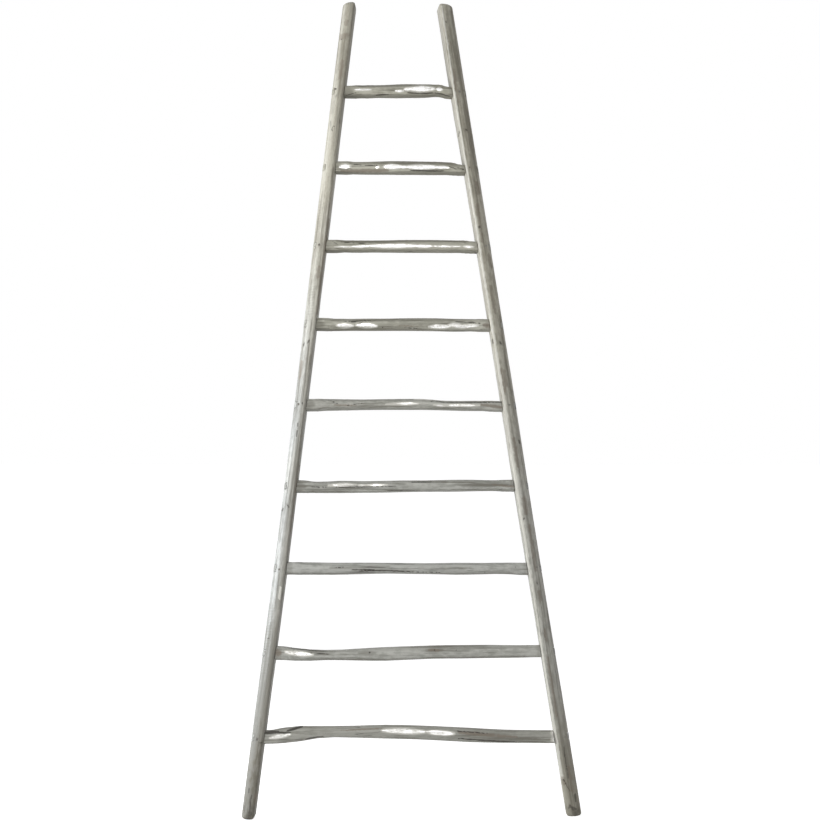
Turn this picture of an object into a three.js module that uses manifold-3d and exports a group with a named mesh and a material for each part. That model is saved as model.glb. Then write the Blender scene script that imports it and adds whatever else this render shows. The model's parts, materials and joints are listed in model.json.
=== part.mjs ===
// A half-pole orchard ladder, leaning as it stands in use.
// Two stiles are the halves of one split pole, their flat faces turned inwards.
// Nine cleft rungs run between them, each hewn a little differently, with tenons that pass
// right through the stiles. A nail from the front pins the tenons of every other rung.
//
// Millimetres, +Z up. X runs across the ladder and +Y points to the wall behind it.
// The origin is on the floor, under the middle of the ladder's bounding box.
// The pieces are made in the ladder's own frame: x across, y to the back, z up along the
// ladder. One group then leans them back by LEAN.

import * as THREE from "three";
import { mergeVertices } from "three/addons/utils/BufferGeometryUtils.js";
import Module from "manifold-3d";

const wasm = await Module();
wasm.setup();

// ---------------------------------------------------------------- driving dimensions

const LEAN = THREE.MathUtils.degToRad(9); // from upright, top towards the wall

const FIRST_RUNG = 199; // from the floor to the lowest rung, along the ladder
const RUNG_PITCH = 215;
const HORN = 252; // stile above the top rung
const FOOT_GAP = 803; // between the flat faces, at the floor
const TIP_GAP = 231; // between the flat faces, at the tips
const SIDE_STRAY = 27; // how far the tips stray to the left of the feet

const STILE_DEPTH = 52; // front to back
const STILE_THICK = 32; // flat face to the crest of the round
const ARRIS = 4; // worn edge between a flat face and the round
const FACET = 15; // out from the flat face, how far the flat hewn along the front reaches
const FACET_SET_BACK = 1.6; // depth of that flat at its inner edge
const END_ROUND = 7; // worn rounding of the feet and tips
const WALL_WEAR = 2.5; // depth of the flat that the wall has worn on each tip

const RUNG_DEPTH = 38; // front to back
const RUNG_HEIGHT = 33; // a usual height, which each rung strays from
const FRONT_SET = 5; // rungs lie this far behind the front of the stiles
const END_BLOCK = 18; // length of each rung end left square at its shoulder
const RUN_OUT = 30; // length over which the hewn edges run out to that square end
const TENON_HEIGHT = 17;
const TENON_DEPTH = 24;

const NAIL_LENGTH = 20;
const NAIL_SHANK = 2.8;
const NAIL_HEAD = 5;
const NAIL_HEAD_THICKNESS = 1.2;
const NAIL_SUNK = 0.5; // top of the head below the wood

const FIT = 0.3; // gap round a tenon, a nail and at a shoulder

// ---------------------------------------------------------------- the two stiles

// splay: turn of the flat face towards the front, in degrees, at the foot and at the tip: the
// pole was split with a twist. The rest are shares of STILE_THICK. bow: inward bend at mid
// length. At even steps from foot to tip, girth is the thickness, and waver is how far the
// hewn flat face strays outwards.
const STILES = [
  {
    name: "left_stile", side: -1, splay: [5, 7], bow: 0.13,
    girth: [1.08, 1.09, 1.11, 1.09, 1.08, 1.12, 1.16, 1.13, 1.13],
    waver: [-0.1, -0.08, -0.11, -0.08, -0.05, -0.04, -0.06, -0.04, -0.09],
  },
  {
    name: "right_stile", side: 1, splay: [-7, 5], bow: 0.03,
    girth: [1.26, 1.23, 1.19, 1.22, 1.22, 1.19, 1.2, 1.28, 1.28],
    waver: [-0.22, -0.18, -0.17, -0.18, -0.12, -0.09, -0.07, -0.15, -0.13],
  },
];

// ---------------------------------------------------------------- the nine rungs

// From the lowest up, with lengths as shares of RUNG_HEIGHT. crown and belly: how far the top
// and the underside lie from the rung's line, at even steps from left to right. turn: how far
// the hewn edges wander round the rung, in degrees, at its left and right ends. lift: how far
// each end sits off its even pitch. nails: where the left and right nails go in, if any, as a
// share of STILE_THICK out from the flat face and a share of RUNG_HEIGHT above the rung's line.
const RUNGS = [
  {
    crown: [0.51, 0.86, 0.85, 0.86, 0.92, 0.88, 0.78, 0.67, 0.53, 0.46, 0.43],
    belly: [0.52, 0.4, 0.07, 0.08, 0.16, 0.22, 0.33, 0.47, 0.54, 0.56, 0.59],
    turn: [-10, 14], lift: [0.05, 0], nails: [[0.53, -0.15], [0.87, -0.08]],
  },
  {
    crown: [0.59, 0.32, 0.23, 0.31, 0.41, 0.47, 0.52, 0.53, 0.53, 0.49, 0.49],
    belly: [0.53, 0.64, 0.59, 0.64, 0.68, 0.62, 0.55, 0.55, 0.53, 0.53, 0.49],
    turn: [12, -6], lift: [-0.03, 0.02], nails: null,
  },
  {
    crown: [0.51, 0.5, 0.47, 0.47, 0.46, 0.44, 0.43, 0.46, 0.45, 0.47, 0.46],
    belly: [0.49, 0.51, 0.51, 0.47, 0.42, 0.45, 0.46, 0.51, 0.48, 0.45, 0.55],
    turn: [-4, 16], lift: [0.02, -0.02], nails: [[0.56, -0.12], [0.8, 0.06]],
  },
  {
    crown: [0.52, 0.38, 0.46, 0.43, 0.45, 0.48, 0.47, 0.51, 0.51, 0.46, 0.49],
    belly: [0.5, 0.54, 0.55, 0.53, 0.52, 0.48, 0.46, 0.47, 0.44, 0.41, 0.47],
    turn: [8, -8], lift: [-0.03, 0.03], nails: null,
  },
  {
    crown: [0.46, 0.49, 0.48, 0.48, 0.51, 0.54, 0.54, 0.41, 0.41, 0.43, 0.37],
    belly: [0.48, 0.44, 0.4, 0.36, 0.34, 0.33, 0.33, 0.35, 0.39, 0.39, 0.43],
    turn: [-12, 4], lift: [-0.03, -0.06], nails: [[0.645, 0.01], [0.61, 0.02]],
  },
  {
    crown: [0.49, 0.48, 0.48, 0.51, 0.52, 0.56, 0.58, 0.58, 0.54, 0.53, 0.45],
    belly: [0.47, 0.53, 0.51, 0.51, 0.49, 0.48, 0.48, 0.49, 0.52, 0.48, 0.46],
    turn: [6, 12], lift: [0.03, 0.02], nails: null,
  },
  {
    crown: [0.46, 0.48, 0.49, 0.5, 0.52, 0.56, 0.57, 0.58, 0.57, 0.55, 0.38],
    belly: [0.48, 0.46, 0.48, 0.45, 0.45, 0.45, 0.44, 0.43, 0.43, 0.41, 0.42],
    turn: [0, -10], lift: [-0.03, -0.03], nails: [[0.54, 0], [0.72, 0.05]],
  },
  {
    crown: [0.45, 0.53, 0.54, 0.59, 0.65, 0.67, 0.67, 0.67, 0.67, 0.59, 0.26],
    belly: [0.43, 0.46, 0.47, 0.46, 0.44, 0.43, 0.4, 0.39, 0.37, 0.34, 0.32],
    turn: [10, -4], lift: [0.03, -0.06], nails: null,
  },
  {
    crown: [0.37, 0.48, 0.57, 0.59, 0.64, 0.71, 0.74, 0.75, 0.76, 0.65, 0.29],
    belly: [0.41, 0.41, 0.45, 0.39, 0.39, 0.39, 0.35, 0.34, 0.28, 0.18, 0.43],
    turn: [-6, 8], lift: [0, -0.03], nails: [[0.77, 0.12], [0.62, 0.03]],
  },
];

// Where the edges of a rung's section lie, in degrees round it, in the hewn length and in the
// square ends: 90 is the top and 180 the front. Fullness 2 is an ellipse, and higher is nearer
// a box.
const HEWN_EDGES = [14, 50, 88, 127, 158, 194, 228, 268, 304, 338];
const SQUARE_EDGES = [10, 45, 90, 135, 162, 198, 225, 270, 315, 350];
const HEWN_FULLNESS = 3;
const SQUARE_FULLNESS = 9;

// ---------------------------------------------------------------- how finely it is built

const ROUND_STEPS = 11; // across the round of a stile
const STILE_STEP = 60; // between rings along a stile
const RUNG_STEPS = 15; // along the hewn length of a rung
const RUN_OUT_STEPS = 3; // along each run-out
const EDGE_STEPS = 3; // round a worn end
const NAIL_STEPS = 10; // round a nail

// ---------------------------------------------------------------- values that follow

const STILE_LENGTH = FIRST_RUNG + (RUNGS.length - 1) * RUNG_PITCH + HORN;
const RUNG_CENTRE = -STILE_DEPTH / 2 + FRONT_SET + RUNG_DEPTH / 2;
const BLOCK = 240; // edge of a cutting block, well past all it cuts
const ROOT = 10; // how far a tenon's solid starts inside its rung
const LAP = 1; // how far a tenon's neck laps over the trimmed tenon
const HEAD_ROOM = 15; // clear height of a nail hole above the head
const SLOPE_SPAN = 2; // length of stile over which its slope is measured
const WELD = 1e-4; // corners closer than this are one corner

// ---------------------------------------------------------------- solids

/** A manifold solid of a closed three.js geometry. */
function solidOf(geometry) {
  const bare = geometry.clone();
  bare.deleteAttribute("normal");
  bare.deleteAttribute("uv");
  const merged = mergeVertices(bare, WELD);
  const mesh = new wasm.Mesh({
    numProp: 3,
    vertProperties: new Float32Array(merged.attributes.position.array),
    triVerts: new Uint32Array(merged.index.array),
  });
  return new wasm.Manifold(mesh);
}

/** A three.js geometry of a manifold solid. */
function geometryOf(solid) {
  const mesh = solid.getMesh();
  const geometry = new THREE.BufferGeometry();
  geometry.setAttribute("position", new THREE.BufferAttribute(mesh.vertProperties, 3));
  geometry.setIndex(new THREE.BufferAttribute(mesh.triVerts, 1));
  geometry.computeVertexNormals();
  return geometry;
}

/** A closed skin over a row of rings that all have as many points, with fan-shaped ends. */
function loftRings(rings) {
  const count = rings[0].length;
  const positions = [];
  const faces = [];
  for (const ring of rings) for (const point of ring) positions.push(...point.toArray());
  const last = (rings.length - 1) * count;
  for (let start = 0; start < last; start += count) {
    for (let p = 0; p < count; p++) {
      const here = start + p;
      const next = start + ((p + 1) % count);
      faces.push(here, next, next + count, here, next + count, here + count);
    }
  }
  const centreOf = (ring) =>
    ring.reduce((sum, point) => sum.add(point), new THREE.Vector3()).divideScalar(count);
  const [bottom, top] = [last + count, last + count + 1]; // the middles of the two end fans
  positions.push(...centreOf(rings[0]).toArray(), ...centreOf(rings.at(-1)).toArray());
  for (let p = 0; p < count; p++) {
    const next = (p + 1) % count;
    faces.push(bottom, next, p, top, last + p, last + next);
  }
  const geometry = new THREE.BufferGeometry();
  geometry.setAttribute("position", new THREE.Float32BufferAttribute(positions, 3));
  geometry.setIndex(faces);
  return geometry;
}

/** A smooth function through values at even steps over 0 to 1. */
function smoothThrough(values) {
  const last = values.length - 1;
  const curve = new THREE.SplineCurve(values.map((v, i) => new THREE.Vector2(i / last, v)));
  return (t) => curve.getPoint(THREE.MathUtils.clamp(t, 0, 1)).y;
}

// ---------------------------------------------------------------- where a stile runs

/** Middle of the flat face, across the ladder, at height z along it. */
function flatAt(stile, z) {
  const along = z / STILE_LENGTH;
  const halfGap = THREE.MathUtils.lerp(FOOT_GAP, TIP_GAP, along) / 2;
  const bend = smoothThrough(stile.waver)(along) - stile.bow * 4 * along * (1 - along);
  return stile.side * (halfGap + bend * STILE_THICK) + SIDE_STRAY * (0.5 - along);
}

/** Thickness of a stile at height z, from its flat face to the crest of its round. */
function thickAt(stile, z) {
  return STILE_THICK * smoothThrough(stile.girth)(z / STILE_LENGTH);
}

/** How far a stile's flat face is turned towards the front at height z. */
function splayAt(stile, z) {
  const [foot, tip] = stile.splay;
  return THREE.MathUtils.degToRad(THREE.MathUtils.lerp(foot, tip, z / STILE_LENGTH));
}

/** The frame of a stile's flat face at height z: x out of it into the round, z along it. */
function stileFrame(stile, z) {
  const drift = flatAt(stile, z + SLOPE_SPAN / 2) - flatAt(stile, z - SLOPE_SPAN / 2);
  const up = new THREE.Vector3(drift, 0, SLOPE_SPAN).normalize();
  const splay = splayAt(stile, z);
  const back = new THREE.Vector3(-stile.side * Math.sin(splay), Math.cos(splay), 0);
  const out = back.cross(up).normalize().multiplyScalar(stile.side);
  const across = new THREE.Vector3().crossVectors(up, out);
  return new THREE.Matrix4().makeBasis(out, across, up).setPosition(flatAt(stile, z), 0, z);
}

/** The angle of a point on the round of a stile, from the crest, by its distance out. */
function roundAngle(stile, z, out) {
  const share = (out - ARRIS) / (thickAt(stile, z) - ARRIS);
  return Math.acos(THREE.MathUtils.clamp(share, 0, 1));
}

/** How far forward of its middle a stile reaches at height z, by the distance out. */
function frontAt(stile, z, out) {
  const half = STILE_DEPTH / 2;
  const round = half * Math.sin(roundAngle(stile, z, out));
  const facetEnd = half * Math.sin(roundAngle(stile, z, FACET));
  const facet = THREE.MathUtils.mapLinear(out, ARRIS, FACET, half - FACET_SET_BACK, facetEnd);
  return Math.min(round, facet);
}

/** One ring of the split pole at height z, drawn in by inset. */
function stileRing(stile, z, inset) {
  const thick = thickAt(stile, z);
  const half = STILE_DEPTH / 2;
  const facetStart = new THREE.Vector2(ARRIS, -frontAt(stile, z, ARRIS));
  const outline = [new THREE.Vector2(0, facetStart.y + ARRIS), facetStart];
  const facetEnd = -roundAngle(stile, z, FACET);
  for (let step = 0; step <= ROUND_STEPS; step++) {
    const angle = THREE.MathUtils.lerp(facetEnd, Math.PI / 2, step / ROUND_STEPS);
    outline.push(
      new THREE.Vector2(ARRIS + (thick - ARRIS) * Math.cos(angle), half * Math.sin(angle)),
    );
  }
  outline.push(new THREE.Vector2(0, half - ARRIS));
  const middle = new THREE.Vector2(thick / 2, 0);
  const shrink = new THREE.Vector2(1 - (2 * inset) / thick, 1 - inset / half);
  const centre = new THREE.Vector2();
  const ring = outline.map((point) => {
    const drawn = point.sub(middle).multiply(shrink).add(middle);
    drawn.rotateAround(centre, splayAt(stile, z));
    return new THREE.Vector3(flatAt(stile, z) + stile.side * drawn.x, drawn.y, z);
  });
  return stile.side > 0 ? ring : ring.reverse();
}

/** A ring moved along the stile until it lies level, at height above the floor. */
function levelRing(stile, height, inset) {
  return stileRing(stile, height / Math.cos(LEAN), inset).map((point) => {
    const z = (height + point.y * Math.sin(LEAN)) / Math.cos(LEAN);
    point.x += flatAt(stile, z) - flatAt(stile, point.z);
    point.z = z;
    return point;
  });
}

/** The whole half pole before any joint is cut in it. */
function stileBlank(stile) {
  const rings = [];
  for (let step = 0; step <= EDGE_STEPS; step++) {
    const angle = ((Math.PI / 2) * step) / EDGE_STEPS;
    const height = END_ROUND * (1 - Math.cos(angle));
    rings.push(levelRing(stile, height, END_ROUND * (1 - Math.sin(angle))));
  }
  const steps = Math.round(STILE_LENGTH / STILE_STEP);
  const shank = STILE_LENGTH - END_ROUND;
  for (let step = 1; step < steps; step++) rings.push(stileRing(stile, (shank * step) / steps, 0));
  for (let step = 0; step <= EDGE_STEPS; step++) {
    const angle = ((Math.PI / 2) * step) / EDGE_STEPS;
    const z = shank + END_ROUND * Math.sin(angle);
    rings.push(stileRing(stile, z, END_ROUND * (1 - Math.cos(angle))));
  }
  return solidOf(loftRings(rings)).subtract(wallWear());
}

/** What the wall has worn off the backs of the tips: all that lies behind one upright plane. */
function wallWear() {
  const tipBack = STILE_LENGTH * Math.sin(LEAN) + (STILE_DEPTH / 2) * Math.cos(LEAN);
  const slab = new THREE.BoxGeometry(2 * FOOT_GAP, BLOCK, BLOCK);
  slab.translate(0, tipBack - WALL_WEAR + BLOCK / 2, STILE_LENGTH * Math.cos(LEAN));
  slab.rotateX(LEAN);
  return solidOf(slab);
}

// ---------------------------------------------------------------- where a rung sits

const rungHeight = (index) => FIRST_RUNG + index * RUNG_PITCH;

/** Which of a pair of values in RUNGS belongs to a stile. */
const ofSide = (pair, stile) => pair[stile.side < 0 ? 0 : 1];

/** The end of a rung's line at a stile: the middle of its shoulder on the flat face. */
function rungEnd(index, stile) {
  const z = rungHeight(index) + ofSide(RUNGS[index].lift, stile) * RUNG_HEIGHT;
  return new THREE.Vector3(flatAt(stile, z), RUNG_CENTRE, z);
}

/** A bar from inside the rung out through the stile, grown by clearance on its four sides. */
function tenonBar(index, stile, clearance) {
  const end = rungEnd(index, stile);
  const depth = TENON_DEPTH + 2 * clearance;
  const bar = new THREE.BoxGeometry(BLOCK, depth, TENON_HEIGHT + 2 * clearance);
  bar.translate(end.x + stile.side * (BLOCK / 2 - ROOT), end.y, end.z);
  return solidOf(bar);
}

/** Everything on the pole's side of the flat face, or of a plane set off from it. */
function beyondFlat(index, stile, offset) {
  const block = new THREE.BoxGeometry(BLOCK, BLOCK, BLOCK);
  block.translate(BLOCK / 2 + offset, 0, 0);
  block.applyMatrix4(stileFrame(stile, rungEnd(index, stile).z));
  return solidOf(block);
}

/** How square a rung is there, from 0 in its hewn length to 1 at its shoulders. */
const squareness = (fromShoulder) =>
  1 - THREE.MathUtils.smoothstep(fromShoulder, END_BLOCK, END_BLOCK + RUN_OUT);

/** One ring of a rung, a share t of the way from its left shoulder to its right. */
function rungRing(rung, from, to, t) {
  const crown = smoothThrough(rung.crown)(t) * RUNG_HEIGHT;
  const belly = smoothThrough(rung.belly)(t) * RUNG_HEIGHT;
  const turn = THREE.MathUtils.lerp(rung.turn[0], rung.turn[1], t);
  const square = squareness(Math.min(t, 1 - t) * from.distanceTo(to));
  const fullness = THREE.MathUtils.lerp(HEWN_FULLNESS, SQUARE_FULLNESS, square);
  const centre = new THREE.Vector3().lerpVectors(from, to, t);
  return HEWN_EDGES.map((edge, which) => {
    const degrees = THREE.MathUtils.lerp(edge + turn, SQUARE_EDGES[which], square);
    const angle = THREE.MathUtils.degToRad(degrees);
    const [y, z] = [Math.cos(angle), Math.sin(angle)];
    const reach = (Math.abs(y) ** fullness + Math.abs(z) ** fullness) ** (-1 / fullness);
    const rise = (crown - belly) / 2 + (z * reach * (crown + belly)) / 2;
    return centre.clone().add(new THREE.Vector3(0, (y * reach * RUNG_DEPTH) / 2, rise));
  });
}

/** Where a rung's rings lie, as shares of its length, running on into both stiles. */
function rungStations(length) {
  const start = [-STILE_THICK, END_BLOCK];
  for (let step = 1; step <= RUN_OUT_STEPS; step++) {
    start.push(END_BLOCK + (RUN_OUT * step) / RUN_OUT_STEPS);
  }
  const hewn = [];
  for (let step = 1; step < RUNG_STEPS; step++) {
    hewn.push(THREE.MathUtils.lerp(start.at(-1), length - start.at(-1), step / RUNG_STEPS));
  }
  const end = start.map((distance) => length - distance).reverse();
  return [...start, ...hewn, ...end].map((distance) => distance / length);
}

/** The hewn length of a rung, cut to its two sloping shoulders. */
function rungBody(index) {
  const [from, to] = STILES.map((stile) => rungEnd(index, stile));
  const rings = rungStations(from.distanceTo(to)).map((t) => rungRing(RUNGS[index], from, to, t));
  return STILES.reduce(
    (body, stile) => body.subtract(beyondFlat(index, stile, -FIT)),
    solidOf(loftRings(rings)),
  );
}

// ---------------------------------------------------------------- nails

/** Where the head of a nail seats on a stile: out from the flat, on the front of the round. */
function nailFrame(index, stile) {
  const [outShare, rise] = ofSide(RUNGS[index].nails, stile);
  const out = outShare * STILE_THICK;
  const z = rungEnd(index, stile).z + rise * RUNG_HEIGHT;
  const point = new THREE.Vector2(out, NAIL_SUNK - frontAt(stile, z, out));
  const splay = splayAt(stile, z);
  point.rotateAround(new THREE.Vector2(), splay);
  const frame = new THREE.Matrix4().makeRotationZ(stile.side * splay);
  return frame.setPosition(flatAt(stile, z) + stile.side * point.x, point.y, z);
}

/** A turned nail along +y, head at the origin, grown by clearance for its hole. */
function nailSolid(clearance, headRoom) {
  const head = NAIL_HEAD / 2 + clearance;
  const shank = NAIL_SHANK / 2 + clearance;
  const profile = [
    [0, NAIL_LENGTH + clearance],
    [shank, NAIL_LENGTH - NAIL_SHANK + clearance],
    [shank, NAIL_HEAD_THICKNESS + clearance],
    [head, NAIL_HEAD_THICKNESS + clearance],
    [head, -headRoom],
    [0, -headRoom],
  ];
  const points = profile.map(([radius, y]) => new THREE.Vector2(radius, y));
  return new THREE.LatheGeometry(points.reverse(), NAIL_STEPS);
}

/** The hole for a nail, open to the front above its head. */
function nailHole(index, stile) {
  return solidOf(nailSolid(FIT, HEAD_ROOM).applyMatrix4(nailFrame(index, stile)));
}

// ---------------------------------------------------------------- pieces

const paintedWood = { color: 0xa9a79b, roughness: 0.42, metalness: 0.45 };
const oldIron = { color: 0x4a443c, roughness: 0.6, metalness: 0.8 };

function piece(name, geometry, finish) {
  const mesh = new THREE.Mesh(geometry, new THREE.MeshStandardMaterial(finish));
  mesh.name = name;
  return mesh;
}

/** A stile with its nine mortises and its nail holes. */
function makeStile(stile, blank) {
  let solid = blank;
  RUNGS.forEach((rung, index) => {
    solid = solid.subtract(tenonBar(index, stile, FIT));
    if (rung.nails) solid = solid.subtract(nailHole(index, stile));
  });
  return piece(stile.name, geometryOf(solid), paintedWood);
}

/** A rung with a tenon at each end, trimmed flush with the round of its stile. */
function makeRung(index, blanks) {
  let solid = rungBody(index);
  STILES.forEach((stile, which) => {
    const inside = beyondFlat(index, stile, 0).intersect(tenonBar(index, stile, 0));
    const trimmed = inside.intersect(blanks[which]);
    const neck = tenonBar(index, stile, 0).subtract(beyondFlat(index, stile, LAP));
    solid = solid.add(trimmed).add(neck);
    if (RUNGS[index].nails) solid = solid.subtract(nailHole(index, stile));
  });
  return piece(`rung_${index + 1}`, geometryOf(solid), paintedWood);
}

function makeNail(index, stile) {
  const side = stile.name.split("_")[0];
  const nail = nailSolid(0, 0).applyMatrix4(nailFrame(index, stile));
  return piece(`nail_${side}_${index + 1}`, nail, oldIron);
}

// ---------------------------------------------------------------- the ladder

const blanks = STILES.map(stileBlank);
const leaning = new THREE.Group();
leaning.rotation.x = -LEAN;

STILES.forEach((stile, which) => leaning.add(makeStile(stile, blanks[which])));
RUNGS.forEach((rung, index) => {
  leaning.add(makeRung(index, blanks));
  if (rung.nails) for (const stile of STILES) leaning.add(makeNail(index, stile));
});

const ladder = new THREE.Group();
ladder.add(leaning);
ladder.updateMatrixWorld(true);
const middle = new THREE.Box3().setFromObject(leaning).getCenter(new THREE.Vector3());
leaning.position.set(-middle.x, -middle.y, 0);

export default ladder;
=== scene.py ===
# %% [markdown]
# # An old half-pole ladder in worn silver paint
#
# The ladder was made by hand. Its two stiles are the halves of one split pole, and nine hewn
# rungs run between them. Long ago all of it was painted with aluminium paint. Hands and feet
# have rubbed that paint bright on the rungs and thin on the edges of the stiles.
#
# The solids come ready from the packed frame. This lesson copies them, gives them the fine
# shape that weather and tools leave, and paints them. Nothing is moved or made larger.

# %% Load the frame
import json
import math
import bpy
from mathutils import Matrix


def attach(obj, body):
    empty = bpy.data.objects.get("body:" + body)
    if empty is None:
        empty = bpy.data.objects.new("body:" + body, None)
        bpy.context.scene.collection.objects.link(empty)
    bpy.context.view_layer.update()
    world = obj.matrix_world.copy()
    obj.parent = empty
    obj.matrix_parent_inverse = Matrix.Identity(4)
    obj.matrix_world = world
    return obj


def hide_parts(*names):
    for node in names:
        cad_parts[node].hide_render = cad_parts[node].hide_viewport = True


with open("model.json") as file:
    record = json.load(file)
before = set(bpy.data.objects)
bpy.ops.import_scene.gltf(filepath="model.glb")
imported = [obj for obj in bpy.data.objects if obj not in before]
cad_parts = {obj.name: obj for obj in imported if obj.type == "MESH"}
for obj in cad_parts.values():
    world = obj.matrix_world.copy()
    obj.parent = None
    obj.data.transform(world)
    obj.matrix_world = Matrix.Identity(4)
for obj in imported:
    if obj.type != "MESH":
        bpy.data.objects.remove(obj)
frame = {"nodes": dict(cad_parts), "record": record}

from types import SimpleNamespace

import bmesh
import bpy
import numpy as np
from mathutils import Matrix, Vector, noise

scene = bpy.context.scene
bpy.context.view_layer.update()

# %% [markdown]
# ## The camera
#
# The camera stands about four and a half metres in front of the ladder, a little left of its
# middle and at the height of its middle rungs. A long lens keeps the stiles' taper as it is.
# It is made first, because everything after it is judged through it.

# %% Camera
CAMERA_PLACE = (-0.2737, -4.5093, 1.0214)
CAMERA_ANGLES = (-3.484, 0.155, 0.189)  # turn, tilt and roll, in degrees

camera = bpy.data.objects.new("camera", bpy.data.cameras.new("camera"))
scene.collection.objects.link(camera)
scene.camera = camera
camera.data.lens = 75.04
turn, tilt, roll = (math.radians(angle) for angle in CAMERA_ANGLES)
camera.matrix_world = (
    Matrix.Translation(CAMERA_PLACE)
    @ Matrix.Rotation(turn, 4, "Z")
    @ Matrix.Rotation(math.pi / 2 + tilt, 4, "X")
    @ Matrix.Rotation(roll, 4, "Z")
)
scene.view_settings.view_transform = "Standard"
print("camera at", tuple(round(v, 2) for v in camera.location))

# %% [markdown]
# ## Sums that become nodes
#
# Wear is easiest to think of as a sum: paint here, minus rubbing there. In Blender each plus
# or times is a Math node, and a finish soon has fifty of them. This small class wraps a
# node's output so that Python's own signs add those nodes.

# %% A tone that can be added and multiplied
class Tone:
    """A value that changes over a surface, and that can be added, multiplied and so on."""

    def __init__(self, finish, socket):
        self.finish, self.socket = finish, socket

    def math(self, operation, first, second):
        return self.finish.node("Math", {"operation": operation}, {0: first, 1: second})

    def __add__(self, other):
        return self.math("ADD", self, other)

    def __radd__(self, other):
        return self.math("ADD", other, self)

    def __sub__(self, other):
        return self.math("SUBTRACT", self, other)

    def __rsub__(self, other):
        return self.math("SUBTRACT", other, self)

    def __mul__(self, other):
        return self.math("MULTIPLY", self, other)

    def __rmul__(self, other):
        return self.math("MULTIPLY", other, self)

    def __abs__(self):
        return self.math("ABSOLUTE", self, 0.0)

    def most(self, other):
        return self.math("MAXIMUM", self, other)

    def swing(self, amount):
        """A noise's swing about its middle, one half, made larger or smaller."""
        return (self - 0.5) * amount


print("signs and words a tone knows:", "+ - * abs most swing")

# %% [markdown]
# ## A node tree written from Python
#
# Everything that isn't a sum, such as noise or a mix of colours, comes from one method that
# makes any node. The wood's grain needs noise that is drawn out along the piece, so each
# piece carries its own grain directions as an attribute, and the noise reads them.

# %% The finish and its nodes
class Finish:
    """A node tree that is written from Python."""

    def __init__(self, tree):
        self.tree = tree
        tree.nodes.clear()

    def node(self, kind, settings=None, values=None, output=0):
        """Any node: its settings, then the values or links of its sockets, then one output."""
        made = self.tree.nodes.new("ShaderNode" + kind)
        for name, value in (settings or {}).items():
            setattr(made, name, value)
        for key, value in (values or {}).items():
            if isinstance(value, Tone):
                self.tree.links.new(value.socket, made.inputs[key])
            else:
                made.inputs[key].default_value = value
        return Tone(self, made.outputs[output]) if made.outputs else None

    def laid(self, name):
        """An amount laid on the mesh, such as dirt, a painted highlight or painted shade. It is 0
        where none was laid.
        """
        return self.node("Attribute", {"attribute_name": name}, output=2)

    def grain(self, across, along, detail=3.0, rough=0.55, shift=0.0):
        """Noise drawn out along the wood: so many cells a metre across it and along it.

        shift moves the noise, so that no two of them are alike.
        """
        place = self.node("Attribute", {"attribute_name": "grain"}, output=1)
        stretched = self.node(
            "VectorMath", {"operation": "MULTIPLY_ADD"},
            {0: place, 1: (across, across, along), 2: (shift, shift, shift)},
        )
        values = {"Vector": stretched, "Scale": 1.0, "Detail": detail, "Roughness": rough}
        return self.node("TexNoise", {}, values)

    def mask(self, value, low, high):
        """0 at low, 1 at high, and a smooth rise between. low may be the larger."""
        ends = {"Value": value, "From Min": low, "From Max": high, "To Min": 0.0, "To Max": 1.0}
        return self.node("MapRange", {"interpolation_type": "SMOOTHSTEP"}, ends)

    def mix(self, amount, base, cover):
        """One colour covered by another."""
        return self.node("Mix", {"data_type": "RGBA"}, {0: amount, 6: base, 7: cover}, output=2)


def new_finish(name):
    """A new material, and its node tree ready to be written."""
    material = bpy.data.materials.new(name)
    material.use_nodes = True
    return material, Finish(material.node_tree)


print("ways to make a node:", [way for way in vars(Finish) if not way.startswith("_")])

# %% [markdown]
# ## The room
#
# The floor and the world look white to the camera and in reflections, because Light Path
# tells those rays apart. The light that they cast stays low, so the lamps do the shaping.
# A wide soft lamp stands at the left, where a window would be, and a smaller one hangs high
# in front. That one gives the rungs their glints.

# %% The world
AMBIENT = 0.21  # how bright the world is as a light

world = bpy.data.worlds.new("studio")
scene.world = world
world.use_nodes = True
sky = Finish(world.node_tree)


def seen(finish):
    """1 for rays from the camera, and for those that come by way of a gloss or a glass."""
    kinds = ("Is Camera Ray", "Is Glossy Ray", "Is Transmission Ray")
    camera_ray, glossy_ray, glass_ray = (finish.node("LightPath", output=k) for k in kinds)
    return camera_ray.most(glossy_ray).most(glass_ray)


light = sky.node("Background", {}, {"Color": seen(sky).most(AMBIENT), "Strength": 1.0})
sky.node("OutputWorld", {}, {"Surface": light})
print("the world lights the ladder with", AMBIENT, "of the white that is seen")

# %% The floor
FLOOR_HALF = 30  # metres, so that its edge is out of sight
FLOOR_GLOW = 0.82  # makes the floor as white as the world, for rays that see it

floor_mesh = bpy.data.meshes.new("floor")
plane = bmesh.new()
bmesh.ops.create_grid(plane, x_segments=1, y_segments=1, size=FLOOR_HALF)
plane.to_mesh(floor_mesh)
floor = bpy.data.objects.new("floor", floor_mesh)
scene.collection.objects.link(floor)

floor_material, ground = new_finish("pale_floor")
surface = {
    "Base Color": (0.8, 0.8, 0.8, 1), "Roughness": 0.9,
    "Emission Color": seen(ground) * FLOOR_GLOW, "Emission Strength": 1.0,
}
ground.node("OutputMaterial", {}, {"Surface": ground.node("BsdfPrincipled", {}, surface)})
floor_mesh.materials.append(floor_material)
print("floor", 2 * FLOOR_HALF, "m wide")


# %% The lamps
def soft_lamp(name, place, aim, size, watts, color):
    """A rectangular lamp at place that faces aim."""
    lamp = bpy.data.lights.new(name, "AREA")
    lamp.shape, lamp.size, lamp.size_y = "RECTANGLE", size[0], size[1]
    lamp.energy, lamp.color = watts, color
    holder = bpy.data.objects.new(name, lamp)
    scene.collection.objects.link(holder)
    holder.location = place
    holder.rotation_euler = (Vector(aim) - Vector(place)).to_track_quat("-Z", "Y").to_euler()


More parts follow.
